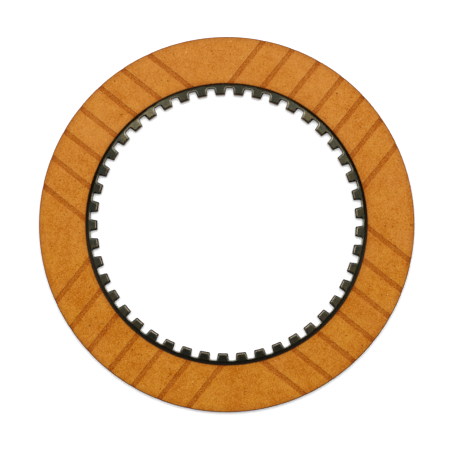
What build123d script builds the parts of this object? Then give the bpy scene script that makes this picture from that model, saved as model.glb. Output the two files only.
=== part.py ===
from build123d import *
import os
from math import cos, hypot, radians, sin, tan

# A friction plate for an oil-immersed clutch: a stamped steel core with a toothed bore,
# and a grooved paper facing bonded to each side. Millimetres and degrees.
# The origin is the middle of the plate, and +Z points out of the upper facing.

# Toothed bore that slides on the hub
tooth_count = 45
tip_diameter = 110.2
tooth_height = 3.0
tooth_tip_width = 4.2
flank_lean = 9.5
tip_corner_bevel = 0.4
root_fillet_radius = 0.4
first_tooth_bearing = 4.57

# Edge that the stamping punch draws down around the upper side of the bore
roll_width = 0.55
roll_depth = 0.3

# Steel core
core_thickness = 1.8
bare_band = 1.9
rim_setback = 0.2

# Friction paper
facing_width = 19.9
facing_thickness = 0.6

# Oil grooves: groups of parallel grooves, the middle one of each group along a radius
groove_groups = 4
grooves_per_group = 7
groove_pitch = 12.0
groove_width = 2.2
groove_wall_lean = 20.0
paper_under_groove = 0.25
groove_bearing = 51.5

# Sizes that follow
tip_radius = tip_diameter / 2
root_radius = tip_radius + tooth_height
facing_bore_radius = root_radius + bare_band
facing_rim_radius = facing_bore_radius + facing_width
core_rim_radius = facing_rim_radius - rim_setback
core_top = core_thickness / 2
groove_depth = facing_thickness - paper_under_groove


def distance_from_axis(edge):
    middle = edge.center()
    return hypot(middle.X, middle.Y)


def upright_corners(solid, radius):
    """The pair of upright edges at one radius that lie nearest the tooth along +X."""
    def at_radius(edge):
        return abs(distance_from_axis(edge) - radius) < tooth_height / 10

    def aside(edge):
        return abs(edge.center().Y)

    return solid.edges().filter_by(Axis.Z).filter_by(at_radius).sort_by(aside)[:2]


def tooth_outline():
    """One tooth along +X, run past its tip and into the ring that carries it."""
    inner_end = tip_radius - tooth_height
    outer_end = root_radius + bare_band / 2

    def half_width(distance):
        return tooth_tip_width / 2 + (distance - tip_radius) * tan(radians(flank_lean))

    return make_face(Polyline(
        (inner_end, -half_width(inner_end)),
        (outer_end, -half_width(outer_end)),
        (outer_end, half_width(outer_end)),
        (inner_end, half_width(inner_end)),
        close=True,
    ))


def pitch_wedge():
    """The slice of the plate that belongs to one tooth, from gap middle to gap middle."""
    reach = 2 * core_rim_radius
    half_pitch = radians(180 / tooth_count)
    return make_face(Polyline(
        (0, 0),
        (reach * cos(half_pitch), -reach * sin(half_pitch)),
        (reach * cos(half_pitch), reach * sin(half_pitch)),
        close=True,
    ))


def make_tooth_pitch():
    """One pitch of the core: bevelled tip corners, filleted roots and the rolled upper edge."""
    ring = Circle(core_rim_radius) - Circle(root_radius)
    outline = (ring & pitch_wedge()) + tooth_outline() - Circle(tip_radius)
    pitch = extrude(Pos(Z=-core_top) * outline, core_thickness)
    pitch = chamfer(upright_corners(pitch, tip_radius), tip_corner_bevel)
    pitch = fillet(upright_corners(pitch, root_radius), root_fillet_radius)

    def around_bore(edge):
        return distance_from_axis(edge) < root_radius + bare_band / 2

    upper_face = pitch.faces().sort_by(Axis.Z)[-1]
    bore_edges = upper_face.edges().filter_by(around_bore)
    return chamfer(bore_edges, roll_width, roll_depth, reference=upper_face)


def make_core_plate():
    """The stamped ring: as many pitches as there are teeth, joined all the way round."""
    pitch = make_tooth_pitch()
    bearings = PolarLocations(0, tooth_count, start_angle=first_tooth_bearing)
    first, *others = [bearing * pitch for bearing in bearings]
    return first.fuse(*others)


def make_groove():
    """Cutter for one groove along +X, from inside the facing's bore to past its rim."""
    floor = groove_width / 2 - groove_depth * tan(radians(groove_wall_lean))
    clear = facing_thickness
    mouth = groove_width / 2 + clear * tan(radians(groove_wall_lean))
    section = make_face(Polyline(
        (-floor, -groove_depth),
        (floor, -groove_depth),
        (mouth, clear),
        (-mouth, clear),
        close=True,
    ))
    across = Plane(origin=(facing_bore_radius / 2, 0, 0), x_dir=(0, 1, 0), z_dir=(1, 0, 0))
    return extrude(across * section, facing_rim_radius)


def make_upper_facing():
    """Paper ring on the core's upper side, with the grooves in its wearing face."""
    blank = extrude(Circle(facing_rim_radius) - Circle(facing_bore_radius), facing_thickness)
    groove = Pos(Z=facing_thickness) * make_groove()
    bearings = PolarLocations(0, groove_groups, start_angle=groove_bearing)
    offsets = GridLocations(0, groove_pitch, 1, grooves_per_group)
    grooves = [bearing * offset * groove for bearing in bearings for offset in offsets]
    return Pos(Z=core_top) * (blank - grooves)


core_plate = make_core_plate()
upper_facing = make_upper_facing()
# The same ring turned over: its grooves lie opposite those above
lower_facing = mirror(upper_facing, about=Plane.XY)

os.makedirs("parts", exist_ok=True)
export_step(core_plate, "parts/core_plate.step")
export_step(upper_facing, "parts/upper_facing.step")
export_step(lower_facing, "parts/lower_facing.step")
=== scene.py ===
# %% [markdown]
# # A wet clutch friction plate
# The object is a flat ring with three pieces: a stamped steel core with teeth around its bore, and
# a grooved ring of friction paper bonded to each side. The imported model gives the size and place
# of each piece. This lesson models the three again with softer edges and gives them their
# finishes.

# %% Load the measured model
import math

import bmesh
import bpy
from mathutils import Matrix, Vector, noise


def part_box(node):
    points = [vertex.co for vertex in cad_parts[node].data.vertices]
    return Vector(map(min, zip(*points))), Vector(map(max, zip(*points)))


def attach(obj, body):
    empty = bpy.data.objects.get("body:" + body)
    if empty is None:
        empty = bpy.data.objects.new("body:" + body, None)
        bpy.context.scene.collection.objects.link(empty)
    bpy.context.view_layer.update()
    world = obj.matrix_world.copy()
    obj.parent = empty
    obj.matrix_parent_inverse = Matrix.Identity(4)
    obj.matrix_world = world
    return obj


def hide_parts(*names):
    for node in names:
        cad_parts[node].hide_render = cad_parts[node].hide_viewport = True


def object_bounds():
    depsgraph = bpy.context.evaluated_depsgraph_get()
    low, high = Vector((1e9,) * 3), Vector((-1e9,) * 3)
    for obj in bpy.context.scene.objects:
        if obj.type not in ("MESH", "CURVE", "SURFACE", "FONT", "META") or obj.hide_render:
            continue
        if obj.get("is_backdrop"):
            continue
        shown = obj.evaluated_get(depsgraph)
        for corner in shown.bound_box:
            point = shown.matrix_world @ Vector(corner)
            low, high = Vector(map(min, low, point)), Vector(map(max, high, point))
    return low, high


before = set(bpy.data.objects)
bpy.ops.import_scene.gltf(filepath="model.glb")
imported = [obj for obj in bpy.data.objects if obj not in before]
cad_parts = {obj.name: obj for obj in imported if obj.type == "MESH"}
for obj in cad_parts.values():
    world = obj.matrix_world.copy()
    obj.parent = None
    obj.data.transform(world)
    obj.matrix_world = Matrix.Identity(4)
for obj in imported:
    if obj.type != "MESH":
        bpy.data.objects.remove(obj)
cad_low, cad_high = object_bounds()
MM = 0.001
print("nodes:", sorted(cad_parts))

# %% [markdown]
# ## Sizes
# Blender works in metres here. The big radii and the layers are read from the loaded nodes, so the
# new pieces can't drift away from them. What a box or a radius can't tell, such as the number of
# teeth and the run of the grooves, is written down as a named value in the cell that first needs
# it.

# %% Read radii and heights from the nodes
def radii(node):
    distances = [vertex.co.xy.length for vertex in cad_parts[node].data.vertices]
    return min(distances), max(distances)


tip_radius, core_rim = radii("core_plate")
paper_bore, paper_rim = radii("upper_facing")
core_bottom, core_top = (corner.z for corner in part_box("core_plate"))
paper_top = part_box("upper_facing")[1].z
plate_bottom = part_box("lower_facing")[0].z
print(f"tips {tip_radius / MM:.2f}, paper {paper_bore / MM:.2f} to {paper_rim / MM:.2f} mm")

# %% [markdown]
# ## From bmesh to piece
# A finished bmesh becomes an object at the origin with its place in its mesh, as the loaded nodes
# have it. The weighted normal modifier keeps broad flats flat while the narrow rounded edges
# beside them shade softly, which is what a highlight along a worn edge needs.

# %% Turn a bmesh into a piece of the plate
WELD = 0.002 * MM
FLAT_WEIGHT = 100


def finish_piece(bm, name, node):
    bmesh.ops.remove_doubles(bm, verts=bm.verts, dist=WELD)
    bmesh.ops.recalc_face_normals(bm, faces=bm.faces)
    mesh = bpy.data.meshes.new(name)
    bm.to_mesh(mesh)
    bm.free()
    mesh.shade_smooth()
    piece = bpy.data.objects.new(name, mesh)
    bpy.context.scene.collection.objects.link(piece)
    piece.modifiers.new("flat_faces", "WEIGHTED_NORMAL").weight = FLAT_WEIGHT
    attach(piece, "root")
    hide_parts(node)
    print(name, len(mesh.polygons), "faces")
    return piece


# %% [markdown]
# ## The steel core
# The real core is blanked from sheet in one press stroke. Its teeth all come from the same tool,
# so one tooth is drawn and then spun round the axis. The slice that belongs to one tooth is a
# single flat face: an arc of the rim and an arc of the tooth's tip, each spun from one point, with
# a leaning flank on both sides. A little algebra finds where a flank crosses a circle.

# %% Find the outline of one tooth
TOOTH_COUNT = 45
TOOTH_HEIGHT = 3.0 * MM
TOOTH_TIP_WIDTH = 4.2 * MM
FLANK_LEAN = math.radians(9.5)
HAIR = 0.001 * MM
half_pitch = math.pi / TOOTH_COUNT
root_radius = tip_radius + TOOTH_HEIGHT


def polar(radius, angle, height=0.0):
    return Vector((radius * math.cos(angle), radius * math.sin(angle), height))


def flank_point(radius, side):
    """Where a leaning flank crosses a circle: side is 1 or -1."""
    slope = math.tan(FLANK_LEAN)
    offset = TOOTH_TIP_WIDTH / 2 - tip_radius * slope
    along = math.sqrt((1 + slope ** 2) * radius ** 2 - offset ** 2) - offset * slope
    along /= 1 + slope ** 2
    return Vector((along, side * (offset + slope * along), core_top))


def arc(bm, radius, reach, steps):
    """Points of a circle from -reach to reach, spun from one point."""
    start = bm.verts.new(polar(radius, -reach, core_top))
    bmesh.ops.spin(bm, geom=[start], cent=(0, 0, 0), axis=(0, 0, 1), angle=2 * reach, steps=steps)
    found = [v for v in bm.verts if abs(v.co.xy.length - radius) < HAIR]
    return sorted(found, key=lambda v: math.atan2(v.co.y, v.co.x))


print(f"{TOOTH_COUNT} teeth, tips {tip_radius / MM:.2f}, roots {root_radius / MM:.2f} mm")

# %% [markdown]
# A bevel of points, not of edges, rounds the tooth's two tip corners and fillets its two roots
# while the slice is still flat. That is simpler than rounding the upright edges of the finished
# ring, which later meet the rolled edge.

# %% Draw the slice of one tooth
TIP_ROUND = 0.45 * MM
ROOT_ROUND = 0.4 * MM
CORNER_SEGMENTS = 5
RIM_STEPS = 8
TIP_STEPS = 4
SIDES = (1, -1)


def draw_tooth_slice(bm):
    tip_corner = flank_point(tip_radius, 1)
    rim = arc(bm, core_rim, half_pitch, RIM_STEPS)
    tip = arc(bm, tip_radius, math.atan2(tip_corner.y, tip_corner.x), TIP_STEPS)
    gap_ends = [bm.verts.new(polar(root_radius, side * half_pitch, core_top)) for side in SIDES]
    roots = [bm.verts.new(flank_point(root_radius, side)) for side in SIDES]
    bm.faces.new(rim + [gap_ends[0], roots[0]] + tip[::-1] + [roots[1], gap_ends[1]])
    for corners, size in ((roots, ROOT_ROUND), ([tip[0], tip[-1]], TIP_ROUND)):
        bmesh.ops.bevel(bm, geom=corners, offset=size, offset_type="OFFSET",
                        segments=CORNER_SEGMENTS, profile=0.5, affect="VERTICES", material=-1)


core = bmesh.new()
draw_tooth_slice(core)
print("one slice has", len(core.verts), "points")

# %% [markdown]
# The slice is extruded to the sheet's thickness and its two cut sides are removed, so that the
# copies join into one skin. Spin with duplicates puts the other teeth round the axis.

# %% Extrude the slice and spin it round
FIRST_TOOTH = math.radians(4.57)
CUT_ANGLE = 1e-5


def on_cut_side(face):
    return all(abs(abs(math.atan2(v.co.y, v.co.x)) - half_pitch) < CUT_ANGLE for v in face.verts)


made = bmesh.ops.extrude_face_region(core, geom=core.faces[:], use_keep_orig=True)
lower = [v for v in made["geom"] if isinstance(v, bmesh.types.BMVert)]
bmesh.ops.translate(core, verts=lower, vec=(0, 0, core_bottom - core_top))
bmesh.ops.delete(core, geom=[f for f in core.faces if on_cut_side(f)], context="FACES")
bmesh.ops.spin(core, geom=core.verts[:] + core.edges[:] + core.faces[:], cent=(0, 0, 0),
               axis=(0, 0, 1), angle=2 * half_pitch * (TOOTH_COUNT - 1), steps=TOOTH_COUNT - 1,
               use_duplicate=True, use_merge=False)
bmesh.ops.remove_doubles(core, verts=core.verts, dist=WELD)
bmesh.ops.rotate(core, verts=core.verts, cent=(0, 0, 0),
                 matrix=Matrix.Rotation(FIRST_TOOTH, 3, "Z"))
bmesh.ops.recalc_face_normals(core, faces=core.faces)
print("toothed ring:", len(core.faces), "faces")

# %% [markdown]
# A punch drags the upper edge down before it cuts. On the teeth that leaves a flat slope about a
# millimetre wide that ends in a rounded nose. At the roots the curve is softer and less deep. The
# nose and the roots follow a quarter of an ellipse, the slope starts with a short bend, and
# between tooth and root the two forms are blended.

# %% Describe the rolled edge
ROLL_WIDTH = 1.0 * MM
ROLL_SLOPE = math.tan(math.radians(14.0))
ROLL_BEND = 0.12 * MM
NOSE_WIDTH = 0.35 * MM
NOSE_DEPTH = 0.3 * MM
ROOT_ROLL_WIDTH = 0.8 * MM
ROOT_ROLL_DEPTH = 0.2 * MM
ROOT_BLEND = 1.0 * MM


def quarter_ellipse(inwards, width, depth):
    return depth * (1 - math.sqrt(1 - max(1 - inwards / width, 0.0) ** 2))


def roll_drop(inwards, radius):
    """How far the sheet is drawn down at a distance from its edge."""
    tooth = min(max((root_radius - radius) / ROOT_BLEND, 0.0), 1.0)
    outside = max(ROLL_WIDTH - inwards, 0.0)
    bent = min(outside, ROLL_BEND)
    facet = ROLL_SLOPE * (bent ** 2 / (2 * ROLL_BEND) + outside - bent)
    on_tooth = facet + quarter_ellipse(inwards, NOSE_WIDTH, NOSE_DEPTH)
    at_root = quarter_ellipse(inwards, ROOT_ROLL_WIDTH, ROOT_ROLL_DEPTH)
    return tooth * on_tooth + (1 - tooth) * at_root


print(f"the tips are drawn down by {roll_drop(0.0, tip_radius) / MM:.2f} mm")

# %% [markdown]
# A bevel of that width would fold over itself at the small corners of the teeth. So the top is
# inset in narrow steps, points that meet at a corner are merged, and each step is then lowered
# onto the curve. A number kept on each point, a custom layer, remembers how far in its step lies.

# %% Roll the upper edge of the bore
ROLL_STEPS = [0.0, 0.03, 0.08, 0.14, 0.2, 0.28, 0.35, 0.415, 0.55, 0.7, 0.84, 0.92, 1.0]
CORNER_MERGE = 0.07 * MM
SAME_STEP = 1e-6
FACES_UP = 0.9
band_middle = (root_radius + paper_bore) / 2


def roll_edge(bm):
    reached = bm.verts.layers.float.new("reached")
    flat = [f for f in bm.faces if f.normal.z > FACES_UP]
    for before, after in zip(ROLL_STEPS, ROLL_STEPS[1:]):
        bmesh.ops.inset_region(bm, faces=flat, thickness=(after - before) * ROLL_WIDTH,
                               use_even_offset=True)
        inner = list(dict.fromkeys(v for f in flat for v in f.verts))
        for vertex in inner:
            vertex[reached] = after
        bmesh.ops.remove_doubles(bm, verts=inner, dist=CORNER_MERGE)
        flat = [f for f in bm.faces
                if all(abs(v[reached] - after) < SAME_STEP for v in f.verts)]
    for vertex in bm.verts:
        near_bore = vertex.co.xy.length < band_middle + ROLL_WIDTH
        if near_bore and vertex.co.z > core_top - HAIR:
            vertex.co.z -= roll_drop(vertex[reached] * ROLL_WIDTH, vertex.co.xy.length)
    bm.verts.layers.float.remove(reached)


roll_edge(core)
print("rolled edge:", len(core.faces), "faces")

# %% [markdown]
# The lower edges only lose their burr, by a bevel too small to see except as a thin glint. They
# are found by their height and by the angle between their two faces.

# %% Break the lower edges
BURR_BREAK = 0.08 * MM
NEAR = 0.01 * MM
SQUARE_EDGE = math.radians(60)
ROUND_SEGMENTS = 2


def sharp_edges(bm, lowest, highest, angle):
    """Edges between two heights that turn by more than an angle."""
    chosen = []
    for edge in bm.edges:
        heights = [v.co.z for v in edge.verts]
        if len(edge.link_faces) == 2 and min(heights) > lowest and max(heights) < highest:
            if edge.calc_face_angle() > angle:
                chosen.append(edge)
    return chosen


def round_edges(bm, edges, size):
    bmesh.ops.bevel(bm, geom=edges, offset=size, offset_type="OFFSET", segments=ROUND_SEGMENTS,
                    profile=0.5, affect="EDGES", clamp_overlap=False, material=-1)


burrs = sharp_edges(core, core_bottom - NEAR, core_bottom + NEAR, SQUARE_EDGE)
print(len(burrs), "edges lose their burr")
round_edges(core, burrs, BURR_BREAK)
steel_core = finish_piece(core, "steel_core", "core_plate")

# %% [markdown]
# ## The friction paper
# Each facing is a flat paper ring with grooves pressed into it, in four groups of seven parallel
# lines. It could be cut from a solid ring, but a sheet is easier to press. So the ring starts as
# two circles bridged into a flat sheet.

# %% Bridge two circles into a flat ring
RING_STEPS = 360
GROOVE_BEARING = math.radians(51.5)


def flat_ring():
    bm = bmesh.new()
    for radius in (paper_bore, paper_rim):
        bmesh.ops.create_circle(bm, segments=RING_STEPS, radius=radius)
    bmesh.ops.bridge_loops(bm, edges=bm.edges[:])
    turn = GROOVE_BEARING + math.pi / RING_STEPS
    bmesh.ops.rotate(bm, verts=bm.verts, cent=(0, 0, 0), matrix=Matrix.Rotation(turn, 3, "Z"))
    bmesh.ops.translate(bm, verts=bm.verts, vec=(0, 0, paper_top))
    bmesh.ops.recalc_face_normals(bm, faces=bm.faces)
    return bm


paper = flat_ring()
print("flat ring:", len(paper.faces), "faces")

# %% [markdown]
# A groove has four lines: two lips and the two edges of its floor, with leaning walls between. In
# each quarter of the ring the lines run parallel to the radius in its middle, so a line is known
# by its distance from that radius.

# %% Lay out the groove lines
GROOVE_GROUPS = 4
GROOVES_PER_GROUP = 7
GROOVE_PITCH = 12.0 * MM
GROOVE_WIDTH = 2.2 * MM
GROOVE_DEPTH = 0.35 * MM
GROOVE_WALL_LEAN = math.radians(20.0)
floor_half = GROOVE_WIDTH / 2 - GROOVE_DEPTH * math.tan(GROOVE_WALL_LEAN)
middle_groove = (GROOVES_PER_GROUP - 1) / 2
groove_offsets = [(k - middle_groove) * GROOVE_PITCH for k in range(GROOVES_PER_GROUP)]
groove_sides = (-GROOVE_WIDTH / 2, -floor_half, floor_half, GROOVE_WIDTH / 2)
groove_lines = [offset + side for offset in groove_offsets for side in groove_sides]


def group_axes():
    for group in range(GROOVE_GROUPS):
        angle = GROOVE_BEARING + group * 2 * math.pi / GROOVE_GROUPS
        yield polar(1, angle), polar(1, angle + math.pi / 2)


def in_group(point, along):
    return point.xy.angle(along.xy) < math.pi / GROOVE_GROUPS


def groove_drop(point):
    """How far the pressed sheet lies below its top at a point."""
    for along, across in group_axes():
        if in_group(point, along):
            aside = min(abs(point.dot(across) - offset) for offset in groove_offsets)
            slope = (GROOVE_WIDTH / 2 - aside) / (GROOVE_WIDTH / 2 - floor_half)
            return GROOVE_DEPTH * min(max(slope, 0.0), 1.0)
    return 0.0


print(GROOVE_GROUPS, "groups of", len(groove_lines), "lines")

# %% [markdown]
# Cutting planes draw the lines into the sheet, and the points of each floor are pressed down. The
# cuts leave many small flat faces, so those of one land, wall or floor are dissolved into one.

# %% Draw and press the grooves
def cut_line(bm, along, across, offset):
    faces = [f for f in bm.faces if in_group(f.calc_center_median(), along)]
    edges = list(dict.fromkeys(e for f in faces for e in f.edges))
    verts = list(dict.fromkeys(v for f in faces for v in f.verts))
    bmesh.ops.bisect_plane(bm, geom=faces + edges + verts, dist=HAIR,
                           plane_co=across * offset, plane_no=across)


def strip_of(point):
    """Which land, wall or floor of the sheet a point belongs to."""
    for number, (along, across) in enumerate(group_axes()):
        if in_group(point, along):
            passed = sum(point.dot(across) > line for line in groove_lines)
            if passed in (0, len(groove_lines)):
                return "between", (number + (passed > 0)) % GROOVE_GROUPS
            return number, passed


def press_grooves(bm):
    for along, across in group_axes():
        for line in groove_lines:
            cut_line(bm, along, across, line)
    for vertex in bm.verts:
        vertex.co.z = paper_top - groove_drop(vertex.co)
    strips = {}
    for face in bm.faces:
        strips.setdefault(strip_of(face.calc_center_median()), []).append(face)
    for faces in strips.values():
        bmesh.ops.dissolve_faces(bm, faces=faces, use_verts=False)


press_grooves(paper)
print("pressed sheet:", len(paper.faces), "faces")

# %% [markdown]
# Ring points that lie beside a groove's end would pinch its rounding later, so they are dissolved.
# Each groove is then three long strips with four corners. Pressed paper has no machine-straight
# edges: the groove lines are divided finely, with cross edges between them, and their points are
# shifted a few hundredths of a millimetre by smooth noise, so the lips wander as paper does.
# Blender seeds this noise from the clock unless a seed is set, and with one each run is the same.

# %% Let the groove lines wander
CLEAR_OF_GROOVE = 0.35 * MM
LINE_STEPS = 36
WANDER = 0.06 * MM
WANDER_LENGTH = 1.1 * MM
WANDER_SEED = 7


def beside_groove(point):
    reach = GROOVE_WIDTH / 2 + CLEAR_OF_GROOVE
    return any(in_group(point, along) and abs(point.dot(across) - offset) < reach
               for along, across in group_axes() for offset in groove_offsets)


def wander(bm):
    spare = [v for v in bm.verts if len(v.link_edges) == 2
             and (beside_groove(v.co) or not v.is_boundary)]
    bmesh.ops.dissolve_verts(bm, verts=spare)
    print("groove strips with four corners:", sum(len(f.verts) == 4 for f in bm.faces))
    lines = [e for e in bm.edges if len(e.link_faces) == 2]
    bmesh.ops.subdivide_edges(bm, edges=lines, cuts=LINE_STEPS, use_grid_fill=True)
    noise.seed_set(WANDER_SEED)
    for vertex in bm.verts:
        if not vertex.is_boundary:
            vertex.co.xy += noise.noise_vector(vertex.co / WANDER_LENGTH).xy * WANDER


wander(paper)
print("wandering lines:", len(paper.verts), "points,", len(paper.faces), "faces")

# %% [markdown]
# The sheet gets its thickness from a second copy that is flattened onto the steel. Then every edge
# that shows is rounded at once, the lips and floors of the grooves with the rim and the bore. The
# lower facing is the same paper, scaled by -1 through the core's middle. That turns a mesh inside
# out, and finish_piece turns its normals back.

# %% Thicken the paper and soften its edges
PAPER_ROUND = 0.1 * MM
PAPER_EDGE = math.radians(25)


def thicken(bm):
    made = bmesh.ops.extrude_face_region(bm, geom=bm.faces[:], use_keep_orig=True)
    for vertex in made["geom"]:
        if isinstance(vertex, bmesh.types.BMVert):
            vertex.co.z = core_top
    bmesh.ops.recalc_face_normals(bm, faces=bm.faces)


thicken(paper)
showing = sharp_edges(paper, core_top + NEAR, paper_top + NEAR, PAPER_EDGE)
round_edges(paper, showing, PAPER_ROUND)
turned_over = paper.copy()
bmesh.ops.scale(turned_over, vec=(1, 1, -1), verts=turned_over.verts)
upper_paper = finish_piece(paper, "upper_paper", "upper_facing")
lower_paper = finish_piece(turned_over, "lower_paper", "lower_facing")

# %% [markdown]
# ## Finishes
# A material is a tree of nodes. Written out in full, each node takes four or five lines, so a
# small class gives short ways to add the common ones: a ramp turns a range of values into 0 to 1,
# a product multiplies several values, and a mix goes from one colour to another. Each range below
# is a named pair, from where the ramp is 0 to where it is 1. Two more numbers, where they are
# given, are the values at those two ends instead of 0 and 1.

# %% Short ways to add nodes
class NodeTree:
    """The nodes of one material."""

    def __init__(self, name):
        self.material = bpy.data.materials.new(name)
        self.material.use_nodes = True
        self.tree = self.material.node_tree
        self.shader = self.tree.nodes["Principled BSDF"]

    def node(self, kind, **settings):
        node = self.tree.nodes.new(kind)
        for key, value in settings.items():
            setattr(node, key, value)
        return node

    def link(self, source, target):
        self.tree.links.new(source, target)

    def put(self, value, socket):
        if isinstance(value, bpy.types.NodeSocket):
            self.link(value, socket)
        else:
            socket.default_value = value

    def math(self, operation, first, second=0.0):
        node = self.node("ShaderNodeMath", operation=operation)
        self.put(first, node.inputs[0])
        self.put(second, node.inputs[1])
        return node.outputs[0]

    def product(self, first, *others):
        for other in others:
            first = self.math("MULTIPLY", first, other)
        return first

    def ramp(self, value, low, high, to_low=0.0, to_high=1.0):
        node = self.node("ShaderNodeMapRange", interpolation_type="SMOOTHSTEP")
        self.put(value, node.inputs["Value"])
        node.inputs["From Min"].default_value = low
        node.inputs["From Max"].default_value = high
        node.inputs["To Min"].default_value = to_low
        node.inputs["To Max"].default_value = to_high
        return node.outputs["Result"]

    def mix(self, amount, first, second, blend="MIX"):
        node = self.node("ShaderNodeMix", data_type="RGBA", blend_type=blend)
        factor, *_, colour_a, colour_b = [i for i in node.inputs if i.enabled]
        self.put(amount, factor)
        self.put(first, colour_a)
        self.put(second, colour_b)
        return [o for o in node.outputs if o.enabled][0]


# %% [markdown]
# All patterns read Object coordinates, scaled to millimetres, so that a grain size in a node is a
# real grain size. The Texture Coordinate node also gives the normal, which tells which way a
# surface turns. A grain is a noise texture, and a bump lets the light catch it without moving a
# point.

# %% Patterns in millimetres
class Finish(NodeTree):
    """A material whose patterns lie in the plate's own millimetres."""

    def __init__(self, name):
        super().__init__(name)
        place = self.node("ShaderNodeTexCoord")
        scaled = self.node("ShaderNodeMapping")
        scaled.inputs["Scale"].default_value = (1 / MM, 1 / MM, 1 / MM)
        self.link(place.outputs["Object"], scaled.inputs["Vector"])
        self.millimetres = scaled.outputs["Vector"]
        self.x, self.y, self.z = self.split(self.millimetres)
        self.facing = place.outputs["Normal"]
        squares = self.math("ADD", self.product(self.x, self.x), self.product(self.y, self.y))
        self.radius = self.math("SQRT", squares)

    def split(self, vector):
        parts = self.node("ShaderNodeSeparateXYZ")
        self.link(vector, parts.inputs[0])
        return parts.outputs

    def grain(self, size, detail=2.0, roughness=0.5):
        node = self.node("ShaderNodeTexNoise")
        self.link(self.millimetres, node.inputs["Vector"])
        node.inputs["Scale"].default_value = 1 / size
        node.inputs["Detail"].default_value = detail
        node.inputs["Roughness"].default_value = roughness
        return node.outputs["Fac"]

    def bump(self, height, strength, distance):
        node = self.node("ShaderNodeBump")
        node.inputs["Strength"].default_value = strength
        node.inputs["Distance"].default_value = distance
        self.link(height, node.inputs["Height"])
        self.link(node.outputs["Normal"], self.shader.inputs["Normal"])

    def report(self, step):
        print(f"{self.material.name}, {step}: {len(self.tree.nodes)} nodes")


# %% [markdown]
# ### Friction paper
# The paper is a felt of fibres and mineral filler soaked in resin. Up close it is mottled: soft
# clouds, a finer mottle and a grain of fibres. Three noises of different size are added up and
# choose a place between a deep and a pale brown. A noise is 0.5 on average, and the sum is
# arranged to be 0.5 then too, so a stronger grain doesn't make the paper paler.

# %% Mottle the paper
PAPER_DEEP = (0.512, 0.128, 0.0, 1.0)
PAPER_PALE = (0.69, 0.29, 0.042, 1.0)
CLOUDS = {"size": 13.0, "detail": 2.0, "roughness": 0.5}
MOTTLE = {"size": 2.6, "detail": 2.0, "roughness": 0.55}
FIBRE = {"size": 0.55, "detail": 2.0, "roughness": 0.6}
CLOUD_WEIGHT = 0.9
MOTTLE_WEIGHT = 0.9
FIBRE_WEIGHT = 3.0


def weighted_sum(finish, *pairs):
    total = 0.5 - 0.5 * sum(weight for _, weight in pairs)
    for value, weight in pairs:
        total = finish.math("ADD", finish.product(value, weight), total)
    return total


felt = Finish("friction_paper")
mottle = felt.grain(**MOTTLE)
fibre = felt.grain(**FIBRE)
tone = weighted_sum(felt, (felt.grain(**CLOUDS), CLOUD_WEIGHT), (mottle, MOTTLE_WEIGHT),
                    (fibre, FIBRE_WEIGHT))
paper_colour = felt.mix(tone, PAPER_DEEP, PAPER_PALE)
felt.report("mottle")

# %% [markdown]
# Dust lies on the paper in patches and oil has tinted it in others. Painted sheen makes it a
# little paler toward the upper side, and painted shade makes it a deeper orange toward the lower
# side. Pale fibre ends and dark grains of filler show as flecks and specks. A narrow ramp lets
# only the highest or the lowest parts of a fine noise through, which leaves dots.

# %% Dust and oil the paper, paint its sheen and shade, and fleck it
def srgb(red, green, blue):
    """A colour as it looks on screen, 0 to 255, turned to the linear values that shaders take."""
    def linear(value):
        value /= 255
        return value / 12.92 if value <= 0.04045 else ((value + 0.055) / 1.055) ** 2.4
    return linear(red), linear(green), linear(blue), 1.0


PAPER_DUST_AND_SHEEN = (0.66, 0.27, 0.06, 1.0)
PAPER_OIL_AND_SHADE = (0.985, 0.97, 0.62, 1.0)
PAPER_FLECK = srgb(236, 184, 120)
PAPER_SPECK = srgb(98, 40, 9)
DUST_PATCHES = {"size": 22.0}
DUST_GRAIN = {"size": 1.4, "detail": 3.0}
DUST_WEIGHT = 1.5
SHEEN_UPWARDS = 0.004
DUST_AND_SHEEN_RANGE = (0.15, 1.1, 0.0, 0.35)
OIL_PATCHES = {"size": 16.0}
OIL_WEIGHT = 1.8
SHADE_DOWNWARDS = -0.006
FLECK_GRAIN = {"size": 0.9, "detail": 1.0}
FLECK_RANGE = (0.735, 0.81, 0.0, 0.7)
SPECK_GRAIN = {"size": 1.1, "detail": 1.0}
SPECK_RANGE = (0.288, 0.212, 0.0, 0.75)

# painted sheen: the y term makes the paper paler toward the upper side
dust_and_sheen = weighted_sum(felt, (felt.grain(**DUST_PATCHES), DUST_WEIGHT),
                    (felt.grain(**DUST_GRAIN), DUST_WEIGHT), (felt.y, SHEEN_UPWARDS))
paper_colour = felt.mix(felt.ramp(dust_and_sheen, *DUST_AND_SHEEN_RANGE), paper_colour, PAPER_DUST_AND_SHEEN)
# painted shade: the y term makes the paper a deeper orange toward the lower side
oil_and_shade = weighted_sum(felt, (felt.grain(**OIL_PATCHES), OIL_WEIGHT), (felt.y, SHADE_DOWNWARDS))
paper_colour = felt.mix(felt.ramp(oil_and_shade, 0.0, 1.0), paper_colour, PAPER_OIL_AND_SHADE, blend="MULTIPLY")
flecks = felt.ramp(felt.grain(**FLECK_GRAIN), *FLECK_RANGE)
paper_colour = felt.mix(flecks, paper_colour, PAPER_FLECK)
specks = felt.ramp(felt.grain(**SPECK_GRAIN), *SPECK_RANGE)
paper_colour = felt.mix(specks, paper_colour, PAPER_SPECK)
felt.report("dust, oil and flecks")

# %% [markdown]
# Pressing squeezes resin out of the fibres, so the grooves are redder and darker, most of all at
# their ends. The height tells a groove from a land. The rim and the bore have taken up oil over
# the last few millimetres, and end in a thin dark line. On the lower side painted shade darkens
# that line further.

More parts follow.
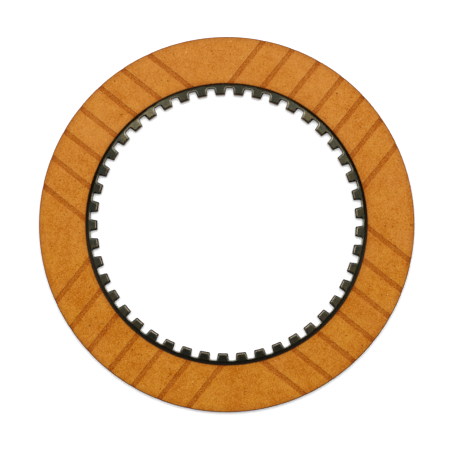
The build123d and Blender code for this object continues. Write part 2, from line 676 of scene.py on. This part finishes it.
# %% Soak the grooves and the edges
GROOVE_STAIN = (0.7, 0.49, 0.24, 1.0)
GROOVE_END_STAIN = (0.92, 0.8, 0.62, 1.0)
EDGE_STAIN = (0.86, 0.8, 0.8, 1.0)
RIM_LINE = (0.48, 0.41, 0.34, 1.0)
RIM_LINE_SHADE = (0.45, 0.4, 0.36, 1.0)
SUNK_DEPTHS = (0.06, 0.24)
SOAKED_FIBRE = (0.36, 0.6, 1.25, 0.55)
SOAKED_RIM, SOAKED_BORE = (3.2, 0.2), (2.6, 0.2)
LINE_RIM, LINE_BORE = (0.55, 0.2), (0.4, 0.1)
SHADE_SIDE = (0.0, -60.0)
top_mm, bore_mm, rim_mm = paper_top / MM, paper_bore / MM, paper_rim / MM


def near_edges(rim_reach, bore_reach):
    """Each reach says how far from its edge it starts, and where it is full."""
    at_rim = felt.ramp(felt.radius, *(rim_mm - reach for reach in rim_reach))
    at_bore = felt.ramp(felt.radius, *(bore_mm + reach for reach in bore_reach))
    return felt.math("MAXIMUM", at_rim, at_bore)


sunk = felt.ramp(felt.math("SUBTRACT", top_mm, felt.math("ABSOLUTE", felt.z)), *SUNK_DEPTHS)
ends = near_edges(SOAKED_RIM, SOAKED_BORE)
line = near_edges(LINE_RIM, LINE_BORE)
for amount, stain in (
    (felt.product(sunk, felt.ramp(fibre, *SOAKED_FIBRE)), GROOVE_STAIN),
    (felt.product(sunk, ends), GROOVE_END_STAIN),
    (ends, EDGE_STAIN),
    (line, RIM_LINE),
    # painted shade: the edge line is darker on the lower side
    (felt.product(line, felt.ramp(felt.y, *SHADE_SIDE)), RIM_LINE_SHADE),
):
    paper_colour = felt.mix(amount, paper_colour, stain, blend="MULTIPLY")
felt.report("grooves and edges")

# %% [markdown]
# A few knocks left dark dots. Each is a soft ellipse: a Mapping node moves, turns and scales the
# coordinates so that the ellipse becomes a ball of radius 1, and the distance from its middle
# fades.

# %% Knock the paper
MARK = srgb(92, 46, 16)
MARK_FADE = (1.0, 0.55, 0.0, 0.8)
KNOCKS = (
    ((-58.0, -43.4, top_mm), (0.55, 0.45, 1.0), 20),
    ((-39.8, -53.6, top_mm), (0.45, 0.4, 1.0), 0),
    ((-61.4, 15.5, top_mm), (0.5, 0.3, 1.0), 60),
    ((78.75, -0.75, top_mm), (1.0, 0.22, 1.0), -36),
    ((19.0, 76.1, top_mm), (0.4, 0.3, 1.0), 10),
)


def knock(finish, centre, half_size, turn):
    node = finish.node("ShaderNodeMapping", vector_type="TEXTURE")
    finish.link(finish.millimetres, node.inputs["Vector"])
    node.inputs["Location"].default_value = centre
    node.inputs["Rotation"].default_value = (0, 0, math.radians(turn))
    node.inputs["Scale"].default_value = half_size
    length = finish.node("ShaderNodeVectorMath", operation="LENGTH")
    finish.link(node.outputs[0], length.inputs[0])
    return finish.ramp(length.outputs["Value"], *MARK_FADE)


for centre, half_size, turn in KNOCKS:
    paper_colour = felt.mix(knock(felt, centre, half_size, turn), paper_colour, MARK)
felt.report("knocks")

# %% [markdown]
# The paper is matt and hardly mirrors anything. Its bump is shallow, because the felt was pressed
# flat against steel.

# %% Finish the paper
PAPER_ROUGHNESS = (0.3, 0.7, 0.95, 0.8)
PAPER_SPECULAR = 0.1
PAPER_BUMP = 0.1
PAPER_BUMP_HEIGHT = 0.04 * MM

felt.put(paper_colour, felt.shader.inputs["Base Color"])
felt.put(felt.ramp(mottle, *PAPER_ROUGHNESS), felt.shader.inputs["Roughness"])
felt.shader.inputs["Specular IOR Level"].default_value = PAPER_SPECULAR
felt.bump(weighted_sum(felt, (mottle, 0.5), (fibre, 0.5)), PAPER_BUMP, PAPER_BUMP_HEIGHT)
for piece in (upper_paper, lower_paper):
    piece.data.materials.append(felt.material)
felt.report("done")

# %% [markdown]
# ### Core steel
# The core is sheet steel darkened by a dry phosphate coat and hot oil: nearly black, a little
# green, with browner stains. Round the ring, patches of painted sheen make the coat paler at some
# bearings and painted shade makes it darker at others. A place is a bearing with the angle where
# it fades out, the angle where it is full and a strength. The cosine between a point's own
# direction and that bearing says how near the point is.

# %% Coat the steel
STEEL = srgb(45, 46, 38)
STEEL_OLIVE = srgb(65, 58, 37)
STEEL_SHEEN = srgb(78, 72, 53)
STEEL_OIL_AND_SHADE = srgb(29, 30, 24)
STAINS = {"size": 4.5, "detail": 3.0, "roughness": 0.6}
SKIN = {"size": 0.6, "detail": 3.0, "roughness": 0.65}
OLIVE_STAINS = (0.44, 0.6)
SHEEN_STAINS = (0.3, 0.55, 0.5, 1.0)
OILED_PORES = (0.52, 0.34, 0.0, 0.6)
SHEEN_PLACES = ((128, 15, 5, 0.9), (318, 26, 10, 0.9), (214, 20, 7, 0.6), (44, 20, 8, 0.2))
SHADED_PLACES = ((161, 21, 10, 0.9), (90, 30, 14, 0.85), (11, 18, 8, 0.4))


def around_bearings(finish, places):
    total = 0.0
    for bearing, fade, full, strength in places:
        direction = polar(1.0, math.radians(bearing))
        along = finish.math("ADD", finish.product(finish.x, direction.x),
                            finish.product(finish.y, direction.y))
        cosine = finish.math("DIVIDE", along, finish.radius)
        limits = (math.cos(math.radians(angle)) for angle in (fade, full))
        total = finish.math("MAXIMUM", total, finish.ramp(cosine, *limits, 0.0, strength))
    return total


steel = Finish("core_steel")
stains = steel.grain(**STAINS)
skin = steel.grain(**SKIN)
steel_colour = steel.mix(steel.ramp(stains, *OLIVE_STAINS), STEEL, STEEL_OLIVE)
# painted sheen: a paler coat at the listed bearings, broken up by the stains
sheen_patches = steel.product(around_bearings(steel, SHEEN_PLACES), steel.ramp(stains, *SHEEN_STAINS))
steel_colour = steel.mix(sheen_patches, steel_colour, STEEL_SHEEN)
# painted shade: a darker coat at the listed bearings
steel_colour = steel.mix(around_bearings(steel, SHADED_PLACES), steel_colour, STEEL_OIL_AND_SHADE)
steel_colour = steel.mix(steel.ramp(skin, *OILED_PORES), steel_colour, STEEL_OIL_AND_SHADE)
steel.report("coat")

# %% [markdown]
# The upper and the lower half of the ring get different painted light and shade, and so do the
# faces, flanks and roots of the teeth. A few measures tell them apart: the height in the frame,
# the distance from the axis, the depth under the sheet's top, and the way the surface turns. A
# flank turns sideways, so its normal is compared with the direction round the ring.

# %% Tell the places on a tooth apart
UPPER_HALF = (-25.0, 15.0)
ROOT_REACH = 0.4
FLANK_TURN = (0.05, 0.15)
steel_top, root_mm = core_top / MM, root_radius / MM

upper_half = steel.ramp(steel.y, *UPPER_HALF)
lower_half = steel.math("SUBTRACT", 1.0, upper_half)
at_root = steel.ramp(steel.radius, root_mm - ROOT_REACH, root_mm)
facing_x, facing_y, _ = steel.split(steel.facing)
sideways = steel.math("SUBTRACT", steel.product(steel.x, facing_y),
                      steel.product(steel.y, facing_x))
sideways = steel.math("DIVIDE", sideways, steel.radius)
uphill = steel.product(sideways, steel.math("DIVIDE", steel.x, steel.radius))
flank = steel.ramp(steel.math("ABSOLUTE", sideways), *FLANK_TURN)


def under_top(start, full, *strength, height=steel.z):
    """A ramp between two depths under the sheet's top."""
    return steel.ramp(height, steel_top - start, steel_top - full, *strength)


steel.report("places")

# %% [markdown]
# The tool has burnished the rolled edge, so it is paler than the coat. On the lower half the line
# is narrower and brighter as painted highlight, brightest at the lower right and the lower left,
# and painted shade darkens the bend beside it.

# %% Burnish the rolled edge and paint its highlight
STEEL_BURNISHED = srgb(78, 73, 62)
STEEL_HIGHLIGHT_LOW = srgb(108, 99, 84)
STEEL_HIGHLIGHT = srgb(138, 129, 114)
HIGHLIGHT_PLACES = ((334, 36, 22, 0.9), (229, 18, 8, 0.7))
SHADED_BEND = (0.004, 0.03)
BEND_SHADE_STRENGTH = 0.8
BURNISH_DEPTHS = (0.01, 0.05)
HIGHLIGHT_NARROWER = 0.055
BURNISHED_SKIN = (0.35, 0.6, 0.6, 1.0)

# painted shade: a dark line in the bend on the lower half
bend_shade = steel.math("SUBTRACT", steel.product(under_top(*SHADED_BEND), lower_half), at_root)
steel_colour = steel.mix(steel.product(bend_shade, BEND_SHADE_STRENGTH), steel_colour, STEEL_OIL_AND_SHADE)
raised = steel.math("ADD", steel.z, steel.product(lower_half, HIGHLIGHT_NARROWER))
drawn = steel.product(under_top(*BURNISH_DEPTHS, height=raised),
                      steel.ramp(skin, *BURNISHED_SKIN))
# painted highlight: the burnished line is brighter on the lower half and at the listed bearings
burnished_and_highlight = steel.mix(lower_half, STEEL_BURNISHED, STEEL_HIGHLIGHT_LOW)
burnished_and_highlight = steel.mix(around_bearings(steel, HIGHLIGHT_PLACES), burnished_and_highlight, STEEL_HIGHLIGHT)
steel_colour = steel.mix(drawn, steel_colour, burnished_and_highlight)
steel.report("rolled edge")

# %% [markdown]
# On the upper half the bend itself shows as a line, tan across the teeth and greyer along their
# flanks, and a painted reflection makes the steel beside the roots pale. At the sides of the ring,
# above its middle, a painted highlight makes the slope tan too. On both sides painted shade
# darkens the flanks that face up in the frame.

# %% Paint the tan highlight, the root reflection and the flank shade
STEEL_TAN = srgb(116, 104, 78)
STEEL_FLANK = srgb(100, 98, 88)
STEEL_UPPER_ROOT_REFLECTION = srgb(126, 123, 110)
TAN_FROM, TAN_TO = (0.0, 12.0), (36.0, 24.0, 0.0, 0.9)
BEND_FROM, BEND_TO = (0.002, 0.012), (0.1, 0.05, 0.0, 0.6)
FLANK_SHADE_TURN = (0.02, 0.12)
FLANK_SHADE_REACH = (2.9, 2.2)
FLANK_SHADE_FROM, FLANK_SHADE_TO = (-54.0, -40.0, 0.0, 0.95), (40.0, 24.0)

# painted highlight: tan on the slope at the sides of the ring, above its middle
tan_highlight = steel.product(steel.ramp(steel.y, *TAN_FROM), steel.ramp(steel.y, *TAN_TO),
                       steel.math("SUBTRACT", drawn, flank))
steel_colour = steel.mix(tan_highlight, steel_colour, STEEL_TAN)
bent = under_top(*BEND_FROM)
# painted reflection: pale steel beside the roots on the upper half
steel_colour = steel.mix(steel.product(bent, at_root, upper_half), steel_colour, STEEL_UPPER_ROOT_REFLECTION)
bend_line = steel.product(bent, under_top(*BEND_TO), upper_half)
steel_colour = steel.mix(bend_line, steel_colour, steel.mix(flank, STEEL_TAN, STEEL_FLANK))
# painted shade: darker flanks that face up in the frame
flank_shade = steel.product(steel.ramp(uphill, *FLANK_SHADE_TURN),
                       steel.ramp(steel.radius, *(root_mm - reach for reach in FLANK_SHADE_REACH)),
                       steel.ramp(steel.y, *FLANK_SHADE_TO), steel.ramp(steel.y, *FLANK_SHADE_FROM))
steel_colour = steel.mix(flank_shade, steel_colour, STEEL_OIL_AND_SHADE)
steel.report("shade_and_highlights_on teeth")

# %% [markdown]
# The last tenths of a millimetre, where the nose turns down, draw the outline of each tooth.
# Toward the top of the ring a painted reflection makes it pale, where such an edge turns to the
# lower side painted half shade makes it brown, and elsewhere painted shade makes it dark brown,
# reaching further in toward the lower side. The walls under it are brown all round. Painted shade
# darkens the edges of the roots, and a painted reflection makes them pale on the lower half.

# %% Outline the teeth
STEEL_EDGE_SHADE = srgb(30, 20, 13)
STEEL_EDGE_REFLECTION = srgb(132, 124, 113)
STEEL_EDGE_HALF_SHADE = srgb(122, 96, 72)
STEEL_WALL = srgb(50, 40, 31)
STEEL_LOWER_ROOT_REFLECTION = srgb(138, 136, 130)
EDGE_DEPTHS = (0.14, 0.18)
EDGE_WIDER = (34.0, 16.0, 0.0, 0.048)
ROOT_EDGE_DEPTHS = (0.05, 0.09)
TURNED_DOWN = (-0.1, -0.4)
REFLECTION_UPWARDS = (8.0, 44.0, 0.0, 0.9)
HALF_SHADE_UPWARDS = (14.0, 34.0)
WALL_DEPTHS = (0.45, 0.6)

# painted reflection: a pale nose toward the top; painted half shade: brown where it turns down
turned_down = steel.ramp(facing_y, *TURNED_DOWN)
pale = steel.math("SUBTRACT", steel.ramp(steel.y, *REFLECTION_UPWARDS), turned_down)
outline = steel.mix(pale, STEEL_EDGE_SHADE, STEEL_EDGE_REFLECTION)
half_shade = steel.product(turned_down, steel.ramp(steel.y, *HALF_SHADE_UPWARDS))
outline = steel.mix(half_shade, outline, STEEL_EDGE_HALF_SHADE)
outline = steel.mix(under_top(*WALL_DEPTHS), outline, STEEL_WALL)
# painted shade: dark edges at the roots
root_edge = steel.product(under_top(*ROOT_EDGE_DEPTHS), at_root)
steel_colour = steel.mix(root_edge, steel_colour, STEEL_EDGE_SHADE)
# painted shade: the dark outline reaches further in toward the lower side
lowered = steel.math("SUBTRACT", steel.z, steel.ramp(steel.y, *EDGE_WIDER))
steel_colour = steel.mix(under_top(*EDGE_DEPTHS, height=lowered), steel_colour, outline)
# painted reflection: pale root edges on the lower half
steel_colour = steel.mix(steel.product(root_edge, lower_half), steel_colour, STEEL_LOWER_ROOT_REFLECTION)
steel.report("outline")

# %% [markdown]
# A line of dark resin has crept out from under the paper, unevenly and thinnest at the top. On the
# lower half painted shade widens it over the band in a greyer black, lighter toward the paper.
# Painted shadow darkens the corners between flank and root on the upper half.

# %% Let the resin creep out and paint the shade beside it
RESIN_AND_SHADOW = srgb(12, 8, 4)
RESIN_AND_SHADE_LOW = srgb(27, 24, 16)
RESIN_LIT = srgb(40, 38, 32)
RESIN_THIN = srgb(20, 13, 7)
CORNER_REACH = (1.3, 0.6)
CORNER_TURN = (-0.02, -0.07)
CORNER_DEPTHS = (0.003, 0.02)
RESIN_REACH = (1.3, 0.8)
RESIN_UNEVEN = (0.3, 0.7, -0.25, 0.25)
SHADE_LOW_EXTRA = 0.5
RESIN_TOP = (58.0, 44.0)
RESIN_TOP_LESS = 0.35
RESIN_LIT_FROM = (0.6, 1.6)

# painted shadow: the corners between the downhill flank and the root on the upper half
corner = steel.product(steel.ramp(steel.radius, *(root_mm - reach for reach in CORNER_REACH)),
                       steel.ramp(uphill, *CORNER_TURN), under_top(*CORNER_DEPTHS), upper_half)
steel_colour = steel.mix(corner, steel_colour, RESIN_AND_SHADOW)
thick = steel.ramp(steel.y, *RESIN_TOP)
resin_and_shade_reach = steel.math("ADD", steel.radius, steel.ramp(stains, *RESIN_UNEVEN))
# painted shade: on the lower half the dark line is widened over the band
resin_and_shade_reach = steel.math("ADD", resin_and_shade_reach, steel.product(lower_half, SHADE_LOW_EXTRA))
held_back = steel.product(steel.math("SUBTRACT", 1.0, thick), RESIN_TOP_LESS)
resin_and_shade_reach = steel.math("SUBTRACT", resin_and_shade_reach, held_back)
lit = steel.ramp(steel.radius, *(root_mm + reach for reach in RESIN_LIT_FROM))
resin_and_shade = steel.mix(lower_half, RESIN_AND_SHADOW, steel.mix(lit, RESIN_AND_SHADE_LOW, RESIN_LIT))
resin_and_shade = steel.mix(thick, RESIN_THIN, resin_and_shade)
beside_paper = steel.ramp(resin_and_shade_reach, *(bore_mm - reach for reach in RESIN_REACH))
steel_colour = steel.mix(beside_paper, steel_colour, resin_and_shade)
steel.report("resin_and_shade")

# %% [markdown]
# Under its thin coat the steel still mirrors the soft boxes, so the shader is a metal. The skin
# makes it rougher here and smoother there, and the burnished edge is smoothest.

# %% Finish the steel
STEEL_ROUGHNESS = (0.3, 0.7, 0.36, 0.26)
BURNISH_POLISH = 0.25
STEEL_BUMP = 0.25
STEEL_BUMP_HEIGHT = 0.02 * MM

polished = steel.math("SUBTRACT", 1.0, steel.product(drawn, BURNISH_POLISH))
roughness = steel.product(steel.ramp(skin, *STEEL_ROUGHNESS), polished)
steel.put(steel_colour, steel.shader.inputs["Base Color"])
steel.put(roughness, steel.shader.inputs["Roughness"])
steel.shader.inputs["Metallic"].default_value = 1.0
steel.bump(skin, STEEL_BUMP, STEEL_BUMP_HEIGHT)
steel_core.data.materials.append(steel.material)
steel.report("done")

# %% [markdown]
# ## The set
# The plate lies on a white table whose rim is raised into a low wall, so that low views and flat
# reflections end in white too. The table adds a glow for the camera and for reflections, and the
# glow grows with distance. Near the plate it is weak enough to leave the plate's soft shadow.

# %% Lay the table
TABLE_RADIUS = 6.0
TABLE_STEPS = 96
TABLE_WALL = 1.6
TABLE_DROP = 0.01 * MM
TABLE_COLOUR = (0.8, 0.8, 0.8, 1.0)
TABLE_ROUGHNESS = 0.9
WHITE = (1.0, 1.0, 1.0, 1.0)
GLOW = (250.0, 1200.0, 0.41, 1.0)
table_top = plate_bottom - TABLE_DROP


def make_table():
    bm = bmesh.new()
    bmesh.ops.create_circle(bm, cap_ends=True, segments=TABLE_STEPS, radius=TABLE_RADIUS)
    made = bmesh.ops.extrude_edge_only(bm, edges=bm.edges[:])
    raised = [v for v in made["geom"] if isinstance(v, bmesh.types.BMVert)]
    bmesh.ops.translate(bm, verts=raised, vec=(0, 0, TABLE_WALL))
    bmesh.ops.translate(bm, verts=bm.verts, vec=(0, 0, table_top))
    mesh = bpy.data.meshes.new("table")
    bm.to_mesh(mesh)
    bm.free()
    table = bpy.data.objects.new("table", mesh)
    bpy.context.scene.collection.objects.link(table)
    table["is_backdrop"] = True
    return table


def make_table_white():
    white = Finish("table_white")
    path = white.node("ShaderNodeLightPath")
    seen = white.math("MAXIMUM", path.outputs["Is Camera Ray"], path.outputs["Is Glossy Ray"])
    seen = white.math("MAXIMUM", seen, path.outputs["Is Transmission Ray"])
    glow = white.product(seen, white.ramp(white.radius, *GLOW))
    white.put(glow, white.shader.inputs["Emission Strength"])
    white.shader.inputs["Emission Color"].default_value = WHITE
    white.shader.inputs["Base Color"].default_value = TABLE_COLOUR
    white.shader.inputs["Roughness"].default_value = TABLE_ROUGHNESS
    white.shader.inputs["Specular IOR Level"].default_value = 0.0
    return white.material


table = make_table()
table.data.materials.append(make_table_white())
print("table top at", round(table_top / MM, 3), "mm")

# %% [markdown]
# Three soft boxes light the plate from beyond its far side, at the right, at the left and in the
# middle, and a dim sky fills the rest. Large lamps give the soft highlights of a studio. A lamp
# shines along its own minus Z axis, so each box is turned until plus Z points away from the plate.

# %% Set the lights
SKY_FILL = 0.15
BOX_SIDE = 0.7
BOXES = (
    ("soft_box_right", (0.48, 0.42, 1.36), 7.8),
    ("soft_box_left", (-0.48, 0.42, 1.36), 7.8),
    ("soft_box_back", (0.0, 0.64, 1.3), 5.9),
)


def add_soft_box(name, place, power):
    light = bpy.data.lights.new(name, "AREA")
    light.shape = "SQUARE"
    light.size = BOX_SIDE
    light.energy = power
    box = bpy.data.objects.new(name, light)
    box.location = place
    box.rotation_euler = Vector(place).to_track_quat("Z", "Y").to_euler()
    box.visible_camera = False
    bpy.context.scene.collection.objects.link(box)


def make_sky():
    world = bpy.data.worlds.new("sky")
    world.use_nodes = True
    sky = world.node_tree.nodes["Background"]
    sky.inputs["Color"].default_value = WHITE
    sky.inputs["Strength"].default_value = SKY_FILL
    bpy.context.scene.world = world


for name, place, power in BOXES:
    add_soft_box(name, place, power)
make_sky()
print(len(BOXES), "soft boxes")

# %% [markdown]
# ## The camera
# The photograph looks down the plate's axis, all but straight: the bore's circle stands a little
# off the rim's middle, which a lean of about two degrees explains. The frame is 450 pixels wide,
# the plate's middle stands a little right of the frame's middle, and the rim's radius in pixels
# gives the scale.

# %% Place the camera
FRAME_PIXELS = 450
CENTRE_PIXEL = (226.14, 223.59)
RIM_PIXELS = 187.85
LEAN_DOWN = math.radians(1.75)
LEAN_RIGHT = math.radians(1.05)
LENS = 85.0
SENSOR = 36.0
CLIP_END = 20.0


def add_camera():
    per_pixel = paper_rim / RIM_PIXELS
    distance = LENS / SENSOR * FRAME_PIXELS * per_pixel
    data = bpy.data.cameras.new("camera")
    data.lens = LENS
    data.sensor_width = SENSOR
    data.clip_end = CLIP_END
    camera = bpy.data.objects.new("camera", data)
    aim = Vector((
        (FRAME_PIXELS / 2 - CENTRE_PIXEL[0]) * per_pixel,
        (CENTRE_PIXEL[1] - FRAME_PIXELS / 2) * per_pixel,
        paper_top,
    ))
    camera.rotation_euler = (LEAN_DOWN, LEAN_RIGHT, 0.0)
    camera.location = aim + camera.rotation_euler.to_matrix() @ Vector((0.0, 0.0, distance))
    bpy.context.scene.collection.objects.link(camera)
    bpy.context.scene.camera = camera
    print(f"camera {distance:.3f} m above the plate")


add_camera()
bpy.context.scene.view_settings.view_transform = "Standard"

# %% [markdown]
# ## The two boxes
# The new pieces are meant to fill the same box as the loaded model, so both boxes are printed side
# by side.

# %% Keep both boxes and finish
low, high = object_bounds()
sizes = {"cad": [list(cad_low), list(cad_high)], "visual": [list(low), list(high)]}
for box_name, corners in sizes.items():
    print(box_name, "box in mm:", [[round(v / MM, 3) for v in corner] for corner in corners])
